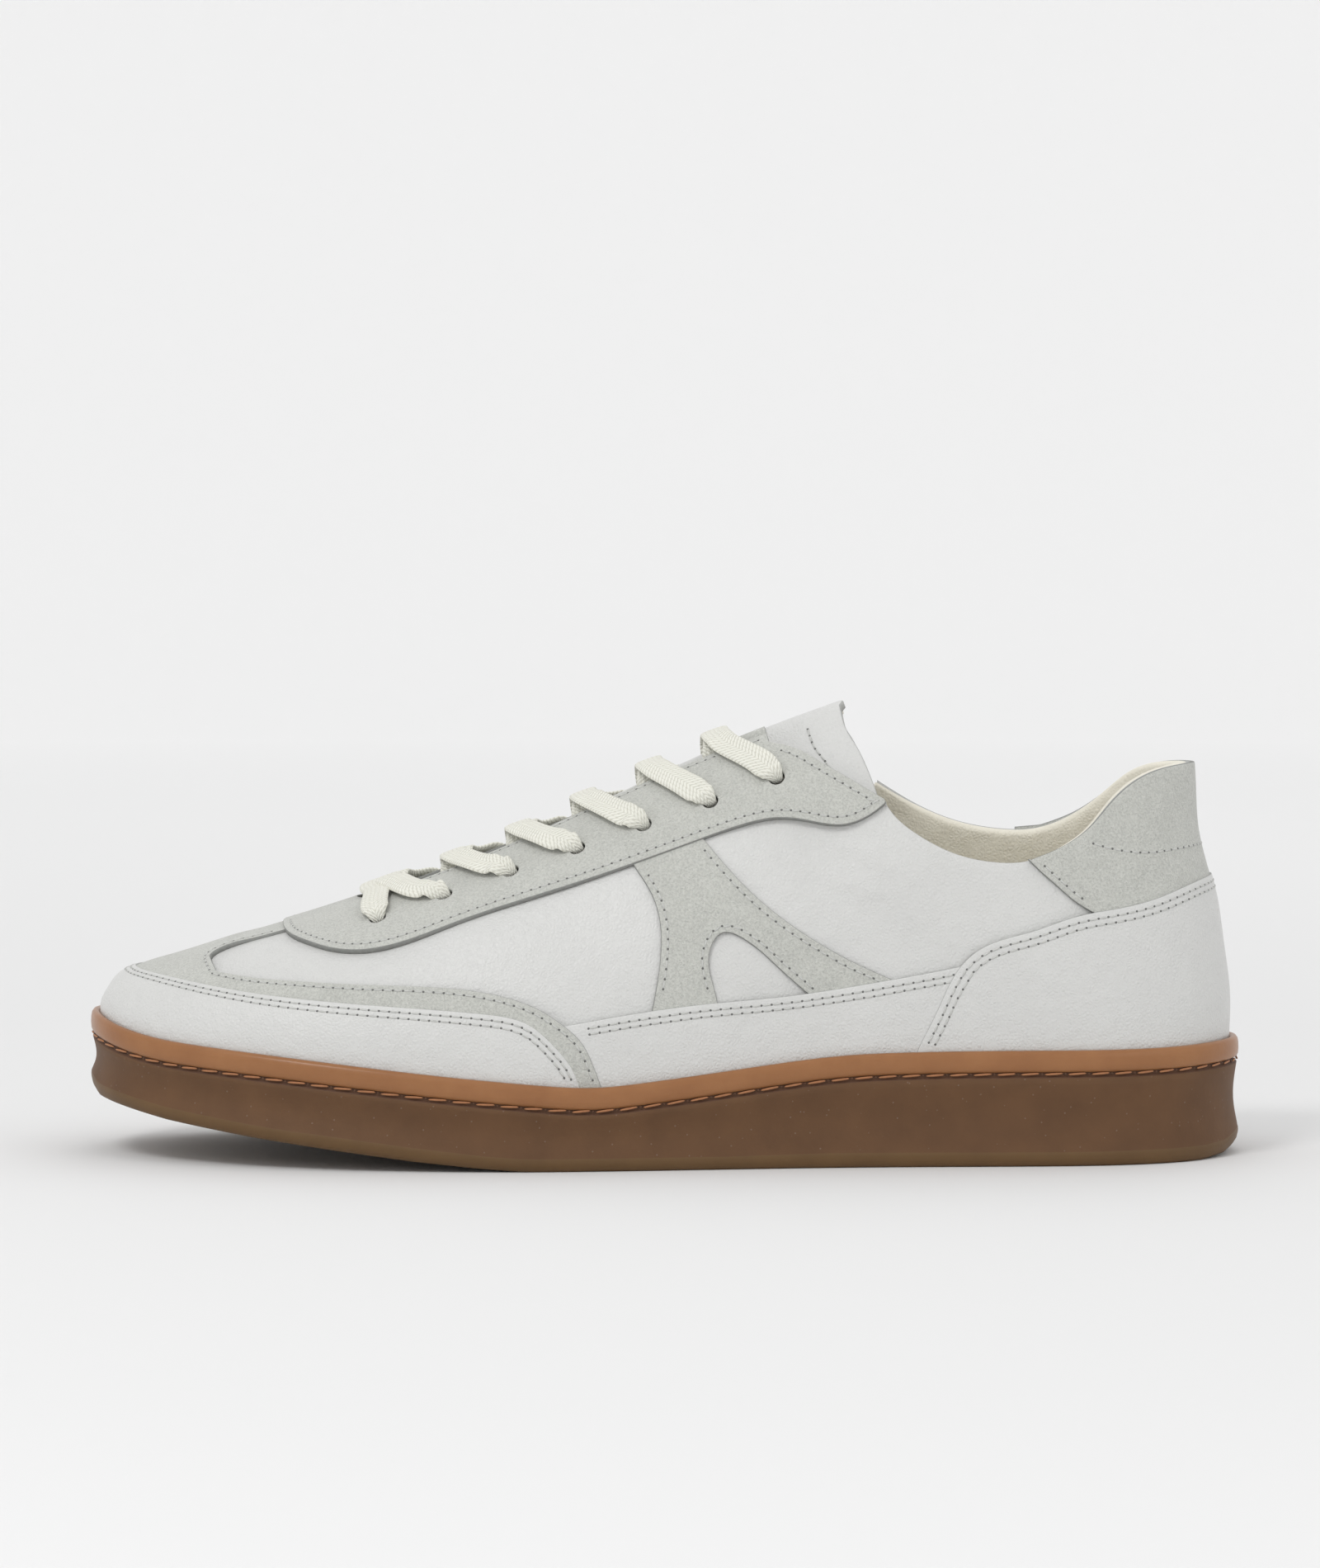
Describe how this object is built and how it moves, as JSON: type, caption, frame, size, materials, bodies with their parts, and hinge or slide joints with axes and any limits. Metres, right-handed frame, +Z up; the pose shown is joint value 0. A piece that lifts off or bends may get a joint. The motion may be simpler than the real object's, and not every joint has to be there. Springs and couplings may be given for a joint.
{
  "type": "court shoe",
  "caption": "Low-cut left court shoe: white leather upper with suede overlays, flat laces, padded collar and a stitched gum cupsole.",
  "frame": {"origin": "centre of the shoe's box at ground level", "axes": "+X towards the heel, -X towards the toe; -Y is the outer (lateral) side of this left shoe; +Z up"},
  "size_m": [0.2977, 0.1022, 0.1164],
  "materials": {
    "leather_white": "smooth full-grain, fine grain",
    "suede": "matte napped suede",
    "gum": "matte gum rubber",
    "gum_thread": "waxed thread",
    "lace": "flat woven cotton",
    "aglet": "clear film",
    "lining": "soft grained lining leather",
    "textile_lining": "brushed textile",
    "foam": "open-cell foam",
    "footbed_foam": "moulded foam",
    "board": "fibre board",
    "stiffener": "thermoplastic sheet"
  },
  "bodies": {
    "upper": {"cupsole": "gum", "sidewall_thread": "gum_thread", "lasting_board": "board", "midsole_filler": "foam", "toe_guard": "leather_white", "toe_overlay": "suede", "eyestay": "suede", "vamp": "leather_white", "quarter_lateral": "leather_white", "quarter_medial": "leather_white", "side_foxing_lateral": "leather_white", "side_foxing_medial": "leather_white", "side_overlay_lateral": "suede", "side_overlay_medial": "suede", "heel_foxing": "leather_white", "heel_tab": "suede", "vamp_lining": "textile_lining", "toe_puff": "stiffener", "eyelet_stay_lateral": "stiffener", "eyelet_stay_medial": "stiffener", "quarter_lining_lateral": "lining", "quarter_lining_medial": "lining", "collar_lining": "lining", "collar_foam": "foam", "heel_counter": "stiffener", "lace": "lace", "aglet_medial": "aglet", "aglet_lateral": "aglet"},
    "tongue": {"tongue": "leather_white", "tongue_foam": "foam", "tongue_lining": "lining", "tongue_label": "leather_white"},
    "footbed": {"footbed": "footbed_foam", "footbed_cover": "lining"}
  },
  "joints": [
    {"name": "tongue_hinge", "type": "hinge", "parent": "upper", "child": "tongue", "pos_m": [-0.08, 0.004, 0.0585], "axis": [0, 1, 0], "range_deg": [0, 9], "stiffness_Nm_per_rad": 0.6},
    {"name": "footbed_lift", "type": "hinge", "parent": "upper", "child": "footbed", "pos_m": [-0.1375, 0.006, 0.0291], "axis": [0, -1, 0], "range_deg": [0, 4.5]}
  ]
}
